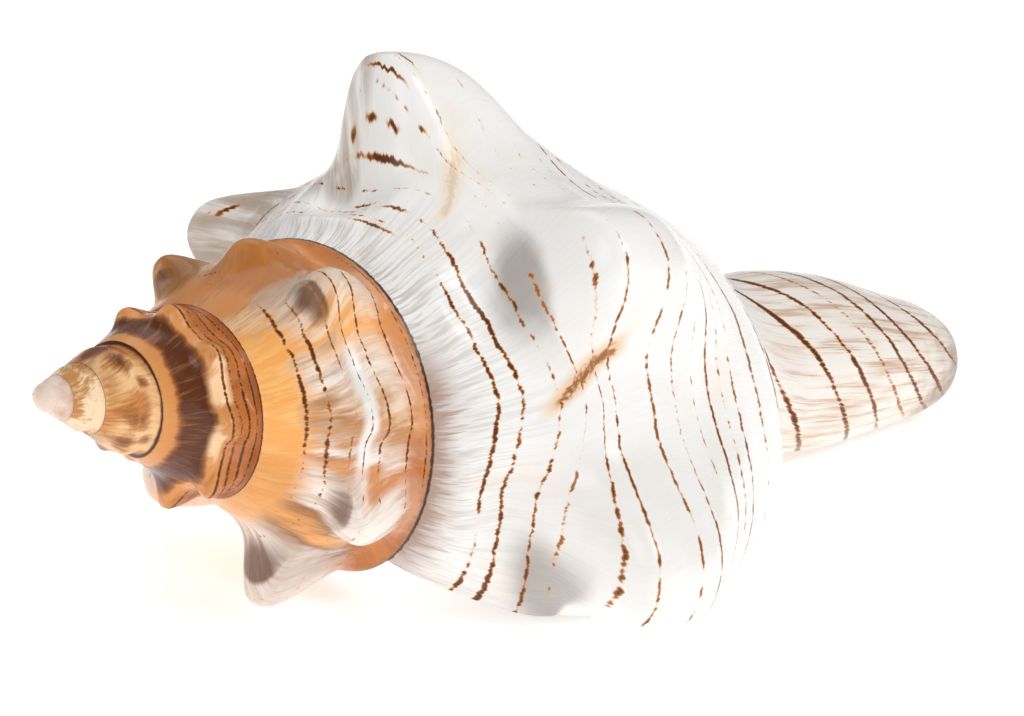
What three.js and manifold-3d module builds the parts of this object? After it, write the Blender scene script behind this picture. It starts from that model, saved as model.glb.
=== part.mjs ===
// A large dextral conch shell, polished, lying on its aperture side.
// It grew as one piece, so it is one mesh. Millimetres, +Z up, +X from the apex towards the canal.
// The origin is the bottom centre of the bounding box, on the surface that the shell rests on.
//
// The shell is worked out in its own frame first: height a along the coiling axis, measured from the
// apex towards the canal, radius r from that axis, and the angle that the shell has grown through,
// counted in whorls. A profile coordinate q runs down one whorl: 0 at its upper suture, 3 at the
// shoulder, 5 at its lower suture. On the last whorl q goes on over the base, from 5 to 9, and down
// the siphonal canal, from 9 to the tip at 15.
import * as THREE from 'three';
import Module from 'manifold-3d';

const wasm = await Module();
wasm.setup();

const DEG = Math.PI / 180;

// Driving dimensions
const SHELL_LENGTH = 148.8;
const SUTURE_RADIUS = 16.8;
const SUTURE_HEIGHT = 35.8;
const RADIUS_GROWTH = { rate: 0.564, bend: 0.018 };
const HEIGHT_GROWTH = { rate: 0.57, bend: -0.018 };
const WALL = 2.4;
const CALLUS = 1.0;

// Where the outer lip ends, in whorls, at the suture, the shoulder and the canal
const LIP_AT_SUTURE = 165 / 360;
const LIP_AT_SHOULDER = 143 / 360;
const LIP_AT_CANAL = 174 / 360;
const COLUMELLA_EDGE_AT_CANAL = 210 / 360;

// Side of a whorl between two sutures: places along and out from the chord, in chord lengths
const SIDE = [[0.17, 0.019], [0.49, 0.051], [0.64, 0.047], [0.88, -0.06]];

// Base of the last whorl: radius, height, and how far each follows the spiral growth (1 is fully)
const BASE = [
  { r: 25.7, a: 65.2, followR: 1, followA: 1 },
  { r: 24.7, a: 71.2, followR: 1, followA: 1.05 },
  { r: 21.6, a: 80.7, followR: 0.97, followA: 0.9 },
  { r: 15.3, a: 90.6, followR: 0.55, followA: 0.5 },
  { r: 11.1, a: 104.1, followR: 0, followA: 0.15 },
];

// Siphonal canal, which the growth leaves where it is: radius and height down to the tip
const CANAL = [[11.6, 114], [11.1, 124], [9.1, 134], [7.4, 142], [4.9, 147], [0, SHELL_LENGTH]];
const CANAL_BEND = { from: 102, sideways: -0.8 };

// Knobs on the shoulder: angle in degrees, height, and lean towards the apex in degrees
const KNOBS = [
  { at: -392, height: 7.3, lean: 23 },
  { at: -349, height: 3.8, lean: 23 },
  { at: -305, height: 8.4, lean: 23 },
  { at: -258, height: 5.2, lean: 23 },
  { at: -222, height: 7.4, lean: 23 },
  { at: -163, height: 9.3, lean: 23 },
  { at: -112, height: 12.0, lean: 23 },
  { at: -42, height: 9.2, lean: 68 },
  { at: 10, height: 12.2, lean: 17 },
  { at: 68, height: 8.9, lean: 0 },
  { at: 126, height: 10.6, lean: 8 },
  { at: 184, height: 10.6, lean: 8 },
  { at: 244, height: 10.6, lean: 8 },
];
const EARLY_KNOB = { step: 43, height: 6.2, fadeFrom: -1.5, fadeTo: -3 };
const KNOB_WIDTH = 0.41;
const KNOB_TOP = { whorl: [0.8, 3.0, 3.0, 5.0], body: [2.1, 3.0, 3.0, 7.0] };
const APRON = { share: 0.32, from: 0.2, top: 2, to: 3.6 };

// Pose at rest, from the shell's own frame: roll about the axis, then pitch of the axis
const REST_ROLL = 70.3;
const REST_PITCH = 10;

// Chamber inside the last whorl, in whorls, and the profile rows that its two walls follow
const CHAMBER = {
  from: LIP_AT_SUTURE - 1.05,
  to: LIP_AT_SUTURE + 0.08,
  knobShare: 0.45,
  outerRows: [0.5, 1, 1.6, 2.2, 2.7, 3.1, 3.6, 4.3, 5, 5.7, 6.4, 7.1, 7.7],
  innerRows: [7.9, 7.4, 6.8, 6.2, 5.7, 5.25],
};

// Canal groove, cut between the lip and the columella edge. Depths go with the rows, wall is what is
// left of each edge, bulge is how much rounder the groove is inside, reach clears the outside
const GROOVE = {
  rows: [7.2, 7.6, 8, 8.5, 9, 9.5, 10, 11, 12, 13, 13.6, 14],
  depths: [6, 7, 8, 8.6, 9.2, 10.4, 11, 10.4, 8.4, 6.4, 5, 4.2],
  lipWall: 1.3,
  columellaWall: 0.5,
  bulge: 0.22,
  reach: 14,
  arcSteps: 10,
  pastTip: 6,
};

// Mesh density: rows closer together where the knobs stand
const COLUMNS_PER_WHORL = 40;
const FIRST_WHORL = -5;
const WHORL_ROWS = [0, 0.5, 1, 1.6, 2.2, 2.6, 3, 3.4, 3.9, 4.4, 5];
const BASE_ROWS = [5.5, 6, 6.5, 7, 7.5, 8, 8.5, 9, 10, 11, 12, 13, 13.5, 14, 14.5, 15];

const clamp01 = (x) => Math.min(Math.max(x, 0), 1);
const lerp = (from, to, share) => from + (to - from) * share;

function smooth(from, to, x) {
  const u = clamp01((x - from) / (to - from));
  return u * u * (3 - 2 * u);
}

const growR = (t) => Math.exp(RADIUS_GROWTH.rate * t + RADIUS_GROWTH.bend * t * t);
const growA = (t) => Math.exp(HEIGHT_GROWTH.rate * t + HEIGHT_GROWTH.bend * t * t);

// A smooth curve through points that stand one step of q apart
function onCurve(points, q) {
  const last = points.length - 1;
  const i = Math.min(Math.floor(q), last - 1);
  const w = q - i;
  const p = [-1, 0, 1, 2].map((k) => points[Math.min(Math.max(i + k, 0), last)]);
  return [0, 1].map((c) => {
    const slopeIn = (p[2][c] - p[0][c]) / 2;
    const slopeOut = (p[3][c] - p[1][c]) / 2;
    const bend = 3 * (p[2][c] - p[1][c]) - 2 * slopeIn - slopeOut;
    const twist = 2 * (p[1][c] - p[2][c]) + slopeIn + slopeOut;
    return p[1][c] + slopeIn * w + bend * w * w + twist * w * w * w;
  });
}

// The points of one profile at growth t, each as [radius, height]
function profilePoints(t) {
  const upper = [SUTURE_RADIUS * growR(t), SUTURE_HEIGHT * growA(t)];
  const lower = [SUTURE_RADIUS * growR(t + 1), SUTURE_HEIGHT * growA(t + 1)];
  const chord = [lower[0] - upper[0], lower[1] - upper[1]];
  const side = SIDE.map(([along, out]) => [
    upper[0] + chord[0] * along + chord[1] * out,
    upper[1] + chord[1] * along - chord[0] * out,
  ]);
  const [under, ...base] = BASE.map((p) => [
    p.r * growR(t) ** p.followR,
    p.a * growA(t) ** p.followA,
  ]);
  const body = smooth(-185, -80, t * 360);
  const edge = [lerp(lower[0], under[0], body), lerp(lower[1], under[1], body)];
  return [upper, ...side, edge, ...base, ...CANAL];
}

// The two knobs on either side of an angle
function nearestKnob(degrees) {
  const first = KNOBS[0].at;
  if (degrees < first) {
    const n = Math.round((first - degrees) / EARLY_KNOB.step);
    const at = first - n * EARLY_KNOB.step;
    const size = n === 0 ? KNOBS[0].height : EARLY_KNOB.height;
    const fade = n === 0 ? 1 : smooth(EARLY_KNOB.fadeTo, EARLY_KNOB.fadeFrom, at / 360);
    return { knob: { height: size * fade, lean: KNOBS[0].lean }, off: Math.abs(degrees - at) / (EARLY_KNOB.step / 2) };
  }
  const next = KNOBS.findIndex((k) => k.at > degrees);
  const [a, b] = [KNOBS[next - 1], KNOBS[next]];
  const half = (b.at - a.at) / 2;
  const nearA = degrees - a.at < half;
  return { knob: nearA ? a : b, off: (nearA ? degrees - a.at : b.at - degrees) / half };
}

// How far the knobs move a point of the profile, as [radius, height]
function knobShift(t, q) {
  const degrees = t * 360;
  const { knob, off } = nearestKnob(degrees);
  const body = smooth(-150, -90, degrees);
  const [rise, topFrom, topTo, end] = KNOB_TOP.whorl.map((v, i) => lerp(v, KNOB_TOP.body[i], body));
  const width = KNOB_WIDTH * (1 + 0.35 * smooth(topFrom, 6, q));
  const across = 0.5 ** ((off / width) ** 2.6) * (1 - off ** 6);
  const size = knob.height * growR(t);
  const push = size * across * smooth(rise, topFrom, q) * (1 - smooth(topTo, end, q));
  const overRamp = smooth(APRON.from, APRON.top, q) * (1 - smooth(APRON.top, APRON.to, q));
  const apron = APRON.share * body * size * Math.cos((Math.PI / 2) * off) ** 1.5 * overRamp;
  const lean = knob.lean * DEG;
  return [push * Math.cos(lean), -push * Math.sin(lean) - apron];
}

// Outer surface: radius and height, with a share of the knobs
function surface(t, q, knobShare = 1) {
  const [r, a] = onCurve(profilePoints(t), q);
  const [dr, da] = knobShift(t, q);
  return [r + dr * knobShare, a + da * knobShare];
}

// The lip slants, so the angle of a column of the mesh differs a little from row to row
function angleOf(t, q) {
  const lipShift = (LIP_AT_SHOULDER - LIP_AT_SUTURE) * smooth(0, 3.9, q)
    + (LIP_AT_CANAL - LIP_AT_SHOULDER) * smooth(6.5, 10, q);
  const startShift = (COLUMELLA_EDGE_AT_CANAL - LIP_AT_SUTURE) * smooth(5.2, 9.5, q);
  const u = t - (LIP_AT_SUTURE - 1);
  const inLast = smooth(5, 5.2, q) * smooth(-0.5, 0, u);
  return t + lipShift * smooth(0.6, 1, u) + startShift * inLast * (1 - smooth(0, 0.4, u));
}

// A point in the shell's own frame, with the slight bend of the canal
function place(r, a, turn) {
  const down = Math.max(a - CANAL_BEND.from, 0) / (SHELL_LENGTH - CANAL_BEND.from);
  const sideways = CANAL_BEND.sideways * down ** 1.5;
  return [r * Math.cos(2 * Math.PI * turn) + sideways, r * Math.sin(2 * Math.PI * turn), a];
}

// Outer body: the whorls with shared sutures, the base and canal, closed across the aperture
function outerBody() {
  const perWhorl = COLUMNS_PER_WHORL;
  const lastColumn = Math.round((LIP_AT_SUTURE - FIRST_WHORL) * perWhorl);
  const turnAt = (column) => LIP_AT_SUTURE + (column - lastColumn) / perWhorl;
  const rows = [...WHORL_ROWS, ...BASE_ROWS];
  const sutureRow = WHORL_ROWS.length - 1;
  const tipRow = rows.length - 1;
  const vertices = [];
  const ids = new Map();
  const tip = vertices.push(place(0, SHELL_LENGTH, 0)) - 1;

  function id(column, row) {
    if (row === tipRow) return tip;
    if (row === sutureRow && column + perWhorl <= lastColumn) return id(column + perWhorl, 0);
    const key = `${column}:${row}`;
    if (!ids.has(key)) {
      const t = turnAt(column);
      const q = rows[row];
      const turn = angleOf(t, q);
      const [r, a] = surface(turn, q);
      ids.set(key, vertices.push(place(r, a, turn)) - 1);
    }
    return ids.get(key);
  }

  const faces = [];
  const quad = (a, b, c, d) => faces.push([a, c, b], [a, d, c]);
  for (let column = 0; column < lastColumn; column += 1) {
    const end = column >= lastColumn - perWhorl ? tipRow : sutureRow;
    for (let row = 0; row < end; row += 1) {
      quad(id(column, row), id(column, row + 1), id(column + 1, row + 1), id(column + 1, row));
    }
  }

  // Apex: a fan over the first whorl's upper suture and its first column
  const apex = vertices.push(place(0, 0, 0)) - 1;
  const rim = [];
  for (let column = 0; column < perWhorl; column += 1) rim.push(id(column, 0));
  for (let row = sutureRow; row > 0; row -= 1) rim.push(id(0, row));
  rim.forEach((v, i) => faces.push([apex, rim[(i + 1) % rim.length], v]));

  // Aperture: a skin from the lip to the columella side, which the chamber is cut through
  const start = lastColumn - perWhorl;
  const corner = id(lastColumn, 0);
  for (let row = 1; row < sutureRow; row += 1) {
    faces.push([corner, id(lastColumn, row + 1), id(lastColumn, row)]);
  }
  for (let row = sutureRow; row < tipRow; row += 1) {
    quad(id(lastColumn, row), id(lastColumn, row + 1), id(start, row + 1), id(start, row));
  }
  return solid(vertices, faces);
}

// A manifold solid from points and triangles; triangles with two equal corners drop out
function solid(vertices, faces) {
  const kept = faces.filter(([a, b, c]) => a !== b && b !== c && c !== a);
  return new wasm.Manifold(new wasm.Mesh({
    numProp: 3,
    vertProperties: new Float32Array(vertices.flat()),
    triVerts: new Uint32Array(kept.flat()),
  }));
}

// A solid through closed loops that all have the same number of points
function loft(loops) {
  const n = loops[0].length;
  const vertices = loops.flat();
  const faces = [];
  for (let k = 0; k + 1 < loops.length; k += 1) {
    for (let i = 0; i < n; i += 1) {
      const j = (i + 1) % n;
      const [a, b, c, d] = [k * n + i, k * n + j, (k + 1) * n + j, (k + 1) * n + i];
      faces.push([a, c, b], [a, d, c]);
    }
  }
  const middle = (loop) => [0, 1, 2].map((c) => loop.reduce((sum, p) => sum + p[c], 0) / n);
  const first = vertices.push(middle(loops[0])) - 1;
  const last = vertices.push(middle(loops[loops.length - 1])) - 1;
  const top = (loops.length - 1) * n;
  for (let i = 0; i < n; i += 1) {
    const j = (i + 1) % n;
    faces.push([first, i, j], [last, top + j, top + i]);
  }
  return solid(vertices, faces);
}

// A point of the surface moved along its normal, outwards if by is positive
function offset(t, q, by, knobShare) {
  const turn = angleOf(t, q);
  const step = 0.05;
  const [before, here, after] = [q - step, q, q + step].map((at) => surface(turn, at, knobShare));
  const [dr, da] = [after[0] - before[0], after[1] - before[1]];
  const length = Math.hypot(dr, da);
  return place(here[0] + (da / length) * by, here[1] - (dr / length) * by, turn);
}

// The chamber: what the animal lived in, from just outside the lip back round the last whorl
function chamber() {
  const loops = [];
  const steps = Math.round((CHAMBER.to - CHAMBER.from) * COLUMNS_PER_WHORL);
  for (let k = 0; k <= steps; k += 1) {
    const t = lerp(CHAMBER.from, CHAMBER.to, k / steps);
    const knobShare = lerp(CHAMBER.knobShare, 1, smooth(LIP_AT_SUTURE - 0.3, LIP_AT_SUTURE, t));
    const outer = CHAMBER.outerRows.map((q) => offset(t, q, -WALL, knobShare));
    const inner = CHAMBER.innerRows.map((q) => offset(t - 1, q, CALLUS, 0));
    loops.push([...outer, ...inner]);
  }
  return loft(loops);
}

// The groove of the siphonal canal, which runs on from the aperture: each section spans the slot
// between the lip and the columella edge at one row, with a rounded floor
function canalGroove() {
  const edges = [LIP_AT_SUTURE, LIP_AT_SUTURE - 1];
  const loops = GROOVE.rows.map((q, k) => {
    const [lip, columella] = edges.map((t) => {
      const turn = angleOf(t, q);
      return new THREE.Vector3(...place(...surface(turn, q), turn));
    });
    const across = columella.clone().sub(lip);
    const width = across.length();
    across.normalize();
    lip.addScaledVector(across, GROOVE.lipWall);
    columella.addScaledVector(across, -GROOVE.columellaWall);
    const middle = lip.clone().add(columella).multiplyScalar(0.5);
    const out = new THREE.Vector3(middle.x, middle.y, 0);
    out.addScaledVector(across, -out.dot(across)).normalize();
    const half = (width - GROOVE.lipWall - GROOVE.columellaWall) / 2;
    const loop = [lip.clone().addScaledVector(out, GROOVE.reach)];
    for (let i = 0; i <= GROOVE.arcSteps; i += 1) {
      const angle = (i / GROOVE.arcSteps) * Math.PI;
      const aside = -half * Math.cos(angle) * (1 + GROOVE.bulge * Math.sin(angle) ** 2);
      const down = GROOVE.depths[k] * Math.sin(angle);
      loop.push(middle.clone().addScaledVector(across, aside).addScaledVector(out, -down));
    }
    loop.push(columella.clone().addScaledVector(out, GROOVE.reach));
    return loop.map((p) => p.toArray());
  });
  const end = loops[loops.length - 1];
  return loft([...loops, end.map(([x, y, z]) => [x, y, z + GROOVE.pastTip])]);
}

const shellSolid = outerBody().subtract(chamber()).subtract(canalGroove());

function geometryOf(manifold) {
  const { vertProperties, triVerts } = manifold.getMesh();
  const geometry = new THREE.BufferGeometry();
  geometry.setAttribute('position', new THREE.BufferAttribute(vertProperties, 3));
  geometry.setIndex(new THREE.BufferAttribute(triVerts, 1));
  return geometry;
}

// From the shell's own frame to the world: axis along +X, then the pose that it rests in
const geometry = geometryOf(shellSolid);
const ownFrame = new THREE.Matrix4().makeBasis(
  new THREE.Vector3(0, 1, 0),
  new THREE.Vector3(0, 0, 1),
  new THREE.Vector3(1, 0, 0),
);
geometry.applyMatrix4(ownFrame);
geometry.rotateX(REST_ROLL * DEG);
geometry.rotateY(REST_PITCH * DEG);
geometry.computeBoundingBox();
const box = geometry.boundingBox;
geometry.translate(-(box.min.x + box.max.x) / 2, -(box.min.y + box.max.y) / 2, -box.min.z);

const polishedShell = new THREE.MeshStandardMaterial({ color: 0xf1e8df, roughness: 0.25, metalness: 0 });
const conch = new THREE.Mesh(geometry, polishedShell);
conch.name = 'conch_shell';

const part = new THREE.Group();
part.add(conch);
export default part;
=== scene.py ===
# A large polished conch shell on a pale floor, seen from the photograph's viewing angle.
# The shell is grown from the same formulas as the CAD part, in millimetres, on a much finer mesh.
import math

import bpy
import numpy as np
from mathutils import Matrix, Vector


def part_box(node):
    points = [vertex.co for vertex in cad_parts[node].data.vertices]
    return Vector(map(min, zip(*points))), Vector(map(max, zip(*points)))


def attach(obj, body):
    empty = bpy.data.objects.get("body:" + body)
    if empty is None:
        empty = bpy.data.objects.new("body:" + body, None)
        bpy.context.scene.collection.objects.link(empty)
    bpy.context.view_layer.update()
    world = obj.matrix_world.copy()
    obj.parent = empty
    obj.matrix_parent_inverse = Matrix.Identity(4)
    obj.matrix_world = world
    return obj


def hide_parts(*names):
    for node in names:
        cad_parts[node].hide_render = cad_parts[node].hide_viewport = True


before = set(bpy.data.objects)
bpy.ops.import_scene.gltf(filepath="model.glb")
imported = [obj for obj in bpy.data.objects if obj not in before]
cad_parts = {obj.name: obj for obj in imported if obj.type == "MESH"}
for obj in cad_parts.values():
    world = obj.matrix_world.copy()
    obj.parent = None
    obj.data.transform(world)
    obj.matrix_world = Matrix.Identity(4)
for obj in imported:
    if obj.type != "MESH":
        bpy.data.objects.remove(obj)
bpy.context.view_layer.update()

MM = 0.001

# Rows of a column: the upper suture is at 0, the lower one at 5, and the canal's tip at 15
SUTURE = 5
TIP = 15
TINY = 1e-9
SAME_ROW = 1e-6

# Driving dimensions of the growth
SHELL_LENGTH = 148.8
SUTURE_RADIUS = 16.8
SUTURE_HEIGHT = 35.8
RADIUS_GROWTH = (0.564, 0.018)
HEIGHT_GROWTH = (0.57, -0.018)
WALL = 2.4
CALLUS = 1.0

# Where the outer lip ends, in whorls, at the suture, the shoulder and the canal
LIP_AT_SUTURE = 165 / 360
LIP_AT_SHOULDER = 143 / 360
LIP_AT_CANAL = 174 / 360
COLUMELLA_EDGE_AT_CANAL = 210 / 360
# Rows over which the lip slants to the shoulder, then to the canal, and the columella edge to the canal
SHOULDER_SLANT = (0, 3.9)
CANAL_SLANT = (6.5, 10)
COLUMELLA_SLANT = (5.2, 9.5)
# Share of the last whorl over which its start is fitted, and from where its end is fitted to the lip
FITTED_START = 0.4
FITTED_END = 0.6

# Side of a whorl between two sutures: places along and out from the chord, in chord lengths
SIDE = ((0.17, 0.019), (0.49, 0.051), (0.64, 0.047), (0.88, -0.06))

# Degrees over which the last whorl's own base takes over from the suture
BASE_FROM = (-185, -80)
# Base of the last whorl: radius, height, and how far each follows the spiral growth
BASE = (
    (25.7, 65.2, 1, 1),
    (24.7, 71.2, 1, 1.05),
    (21.6, 80.7, 0.97, 0.9),
    (15.3, 90.6, 0.55, 0.5),
    (11.1, 104.1, 0, 0.15),
)
# Siphonal canal: radius and height down to the tip
CANAL = ((11.6, 114), (11.1, 124), (9.1, 134), (7.4, 142), (4.9, 147), (0, SHELL_LENGTH))
CANAL_BEND_FROM = 102
CANAL_BEND_SIDEWAYS = -0.8

# Knobs on the shoulder: angle in degrees, height in mm, and lean towards the apex in degrees
KNOBS = (
    (-392, 7.3, 23),
    (-349, 3.8, 23),
    (-305, 8.4, 23),
    (-258, 5.2, 23),
    (-222, 7.4, 23),
    (-163, 9.3, 23),
    (-112, 12.0, 23),
    (-42, 9.2, 68),
    (10, 12.2, 17),
    (68, 8.9, 0),
    (126, 10.6, 8),
    (184, 10.6, 8),
    (244, 10.6, 8),
)
# Early knobs, at a steady step: how many, the step in degrees, height, and growth where they fade
EARLY_KNOBS = 40
EARLY_KNOB_STEP = 43
EARLY_KNOB_HEIGHT = 6.2
EARLY_KNOBS_FADE = (-3, -1.5)
# Width of a knob to half height as a share of half its step, how much wider it gets down to row 6, how
# square it is, and how sharply it ends in the valley
KNOB_WIDTH = 0.41
KNOB_WIDENS = 0.35
KNOB_WIDEST_ROW = 6
KNOB_SQUARENESS = 2.6
KNOB_END = 6
# Degrees over which the knobs take on the shape that they have on the last whorl
LAST_KNOBS_FROM = (-150, -90)
# Rows where a knob starts to rise, is full from and to, and ends: on the upper whorls, and on the last
KNOB_TOP_WHORL = (0.8, 3.0, 3.0, 5.0)
KNOB_TOP_BODY = (2.1, 3.0, 3.0, 7.0)
# Apron from a knob to the upper suture: its share of the knob's height, how narrow it is, and its rows
APRON_SHARE = 0.32
APRON_POWER = 1.5
APRON_ROWS = (0.2, 2, 3.6)
# Shallow dent on the side of a knob that faces the apex, which the CAD part hasn't
DENT_SHARE = 0.2
DENT_ROWS = (0.9, 1.6, 2.3)

# Pose at rest, as in the CAD part
REST_ROLL = math.radians(70.3)
REST_PITCH = math.radians(10)

# Fineness of the mesh: columns a whorl, and rows of each whorl counted back from the lip
COLUMNS = 260
WHORL_ROWS = (56, 44, 34, 22, 14, 12)
BASE_ROWS = 84
FIRST_WHORL = -5.2
SHARP_ANGLE = math.radians(38)

# The camera, and the point it looks at in mm from the shell's apex
CAMERA_AZIMUTH = math.radians(42.40)
CAMERA_ELEVATION = math.radians(21.18)
CAMERA_ROLL = math.radians(3.47)
CAMERA_DISTANCE = 0.66
CAMERA_TARGET = Vector((69.65, -2.06, -9.55))
CAMERA_LENS = 193.4
CAMERA_SENSOR = 36
CAMERA_CLIP_END = 20

# Softboxes: azimuth from the camera and elevation in degrees, distance and size in metres, power in watts
LIGHTS = {
    "key": (-62, 45, 0.7, (0.35, 0.35), 2.05),
    "top": (160, 62, 0.8, (0.6, 0.6), 1.4),
    "fill": (35, 25, 0.9, (0.3, 0.5), 1.4),
    "rim": (105, 12, 0.8, (0.2, 0.3), 0.4),
}
LIGHT_AIM = Vector((0, 0, 0.03))
WORLD_STRENGTH = 0.34

FLOOR_HALF_SIDE = 3.0
FLOOR_LOOK = {
    "Base Color": (0.95, 0.95, 0.95, 1),
    "Emission Color": (1, 1, 1, 1),
    "Emission Strength": 0.5,
    "Roughness": 0.9,
}


def smooth(start, end, x):
    u = np.clip((x - start) / (end - start), 0, 1)
    return u * u * (3 - 2 * u)


def grow_r(t):
    return np.exp(RADIUS_GROWTH[0] * t + RADIUS_GROWTH[1] * t * t)


def grow_a(t):
    return np.exp(HEIGHT_GROWTH[0] * t + HEIGHT_GROWTH[1] * t * t)


def profile(t, q):
    """Radius and height of the plain whorl at growth t and row q: 0 and 5 are its sutures, 15 the tip."""
    upper = np.array([SUTURE_RADIUS * grow_r(t), SUTURE_HEIGHT * grow_a(t)])
    lower = np.array([SUTURE_RADIUS * grow_r(t + 1), SUTURE_HEIGHT * grow_a(t + 1)])
    chord = lower - upper
    across = np.array([chord[1], -chord[0]])
    side = [upper + chord * along + across * out for along, out in SIDE]
    base = [np.array([r * grow_r(t) ** fr, a * grow_a(t) ** fa]) for r, a, fr, fa in BASE]
    body = smooth(*BASE_FROM, t * 360)
    edge = lower + (base[0] - lower) * body
    canal = [np.array([r + 0 * t, a + 0 * t]) for r, a in CANAL]
    points = np.array([upper, *side, edge, *base[1:], *canal])
    last = len(points) - 1
    i = np.minimum(q.astype(int), last - 1)
    w = q - i
    here = np.arange(len(t))
    p0, p1, p2, p3 = (points[np.clip(i + k, 0, last), :, here].T for k in (-1, 0, 1, 2))
    slope_in = (p2 - p0) / 2
    slope_out = (p3 - p1) / 2
    bend = 3 * (p2 - p1) - 2 * slope_in - slope_out
    twist = 2 * (p1 - p2) + slope_in + slope_out
    return p1 + slope_in * w + bend * w ** 2 + twist * w ** 3


def all_knobs():
    """Angle, height and lean of every knob, with the early ones at a steady step."""
    first = KNOBS[0][0]
    early = []
    for n in range(EARLY_KNOBS, 0, -1):
        at = first - n * EARLY_KNOB_STEP
        fade = float(smooth(*EARLY_KNOBS_FADE, at / 360))
        early.append((at, EARLY_KNOB_HEIGHT * fade, KNOBS[0][2]))
    return np.array(early + list(KNOBS), float)


ALL_KNOBS = all_knobs()


def nearest_knob(degrees):
    """Height and lean of the nearest knob, and how far off it is: 0 at its crest, 1 in the valley."""
    at = ALL_KNOBS[:, 0]
    after = np.clip(np.searchsorted(at, degrees, side="right"), 1, len(at) - 1)
    before = after - 1
    half = (at[after] - at[before]) / 2
    near_before = degrees - at[before] < half
    knob = np.where(near_before, before, after)
    off = np.where(near_before, degrees - at[before], at[after] - degrees) / half
    return ALL_KNOBS[knob, 1], ALL_KNOBS[knob, 2], np.clip(off, 0, 1)


def knob_shift(t, q):
    """How far the knobs move a point of the profile, in radius and height."""
    degrees = t * 360
    height, lean, off = nearest_knob(degrees)
    body = smooth(*LAST_KNOBS_FROM, degrees)
    rise, top_from, top_to, end = (
        a + (b - a) * body for a, b in zip(KNOB_TOP_WHORL, KNOB_TOP_BODY)
    )
    width = KNOB_WIDTH * (1 + KNOB_WIDENS * smooth(top_from, KNOB_WIDEST_ROW, q))
    across = 0.5 ** ((off / width) ** KNOB_SQUARENESS) * (1 - off ** KNOB_END)
    size = height * grow_r(t)
    push = size * across * smooth(rise, top_from, q) * (1 - smooth(top_to, end, q))
    start, middle, stop = APRON_ROWS
    over_ramp = smooth(start, middle, q) * (1 - smooth(middle, stop, q))
    apron = APRON_SHARE * body * size * np.cos(np.pi / 2 * off) ** APRON_POWER * over_ramp
    start, middle, stop = DENT_ROWS
    dent = DENT_SHARE * size * across * smooth(start, middle, q) * (1 - smooth(middle, stop, q))
    lean = np.radians(lean)
    return np.array([push * np.cos(lean) - dent, -push * np.sin(lean) - apron + dent])


def surface(t, q, knob_share=1):
    return profile(t, q) + knob_shift(t, q) * knob_share


def lip_lag(q):
    """How far the lip at row q lags behind the lip at the suture, in whorls."""
    lag = (LIP_AT_SHOULDER - LIP_AT_SUTURE) * smooth(*SHOULDER_SLANT, q)
    return lag + (LIP_AT_CANAL - LIP_AT_SHOULDER) * smooth(*CANAL_SLANT, q)


def angle_of(t, q):
    """The lip slants, so the angle of a column of the mesh differs a little from row to row."""
    start = (COLUMELLA_EDGE_AT_CANAL - LIP_AT_SUTURE) * smooth(*COLUMELLA_SLANT, q)
    u = t - (LIP_AT_SUTURE - 1)
    in_last = smooth(SUTURE, COLUMELLA_SLANT[0], q) * smooth(-0.5, 0, u)
    at_end = lip_lag(q) * smooth(FITTED_END, 1, u)
    return t + at_end + start * in_last * (1 - smooth(0, FITTED_START, u))


def place(r, a, turn):
    """A point in the shell's own frame: x along the axis, y and z across it."""
    down = np.maximum(a - CANAL_BEND_FROM, 0) / (SHELL_LENGTH - CANAL_BEND_FROM)
    sideways = CANAL_BEND_SIDEWAYS * down ** 1.5
    angle = 2 * np.pi * turn
    return np.stack([a + 0 * angle, r * np.cos(angle) + sideways, r * np.sin(angle)], -1)


def rows_of(column, last_column):
    """The q of each row of a column."""
    back = min((last_column - column - 1) // COLUMNS, len(WHORL_ROWS) - 1)
    whorl = np.linspace(0, SUTURE, WHORL_ROWS[max(back, 0)] + 1)
    if column < last_column - COLUMNS:
        return whorl
    base = SUTURE + (TIP - SUTURE) * np.linspace(0, 1, BASE_ROWS + 1)[1:]
    return np.concatenate([whorl, base])


class Sheet:
    """Collects vertices, faces, and each face corner's growth t and row q."""

    def __init__(self):
        self.points = []
        self.faces = []
        self.corners = []

    def add(self, t, q, points):
        first = sum(len(p) for p in self.points)
        self.points.append(points)
        return [(first + i, float(t[i]), float(q[i])) for i in range(len(points))]

    def face(self, *corners):
        kept = [c for n, c in enumerate(corners) if c[0] != corners[n - 1][0]]
        if len(kept) < 3:
            return
        self.faces.append([c[0] for c in kept])
        self.corners += [c[1:] for c in kept]

    def strip(self, left, right):
        """Faces between two columns of (vertex, t, q); rows that don't match are joined by triangles."""
        i = 0
        j = 0
        while i + 1 < len(left) or j + 1 < len(right):
            next_left = left[i + 1][2] if i + 1 < len(left) else math.inf
            next_right = right[j + 1][2] if j + 1 < len(right) else math.inf
            if abs(next_left - next_right) < SAME_ROW:
                self.face(left[i], right[j], right[j + 1], left[i + 1])
                i += 1
                j += 1
            elif next_left < next_right:
                self.face(left[i], right[j], left[i + 1])
                i += 1
            else:
                self.face(left[i], right[j], right[j + 1])
                j += 1

    def mesh(self, name):
        mesh = bpy.data.meshes.new(name)
        mesh.from_pydata(np.concatenate(self.points).tolist(), [], self.faces)
        uv = mesh.uv_layers.new(name="growth")
        uv.data.foreach_set("uv", np.array(self.corners, np.float32).ravel())
        mesh.update()
        return mesh


def first_base_place(column):
    """Where in a column the lower suture stands."""
    return next(n for n, corner in enumerate(column) if corner[2] > SUTURE - TINY)


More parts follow.
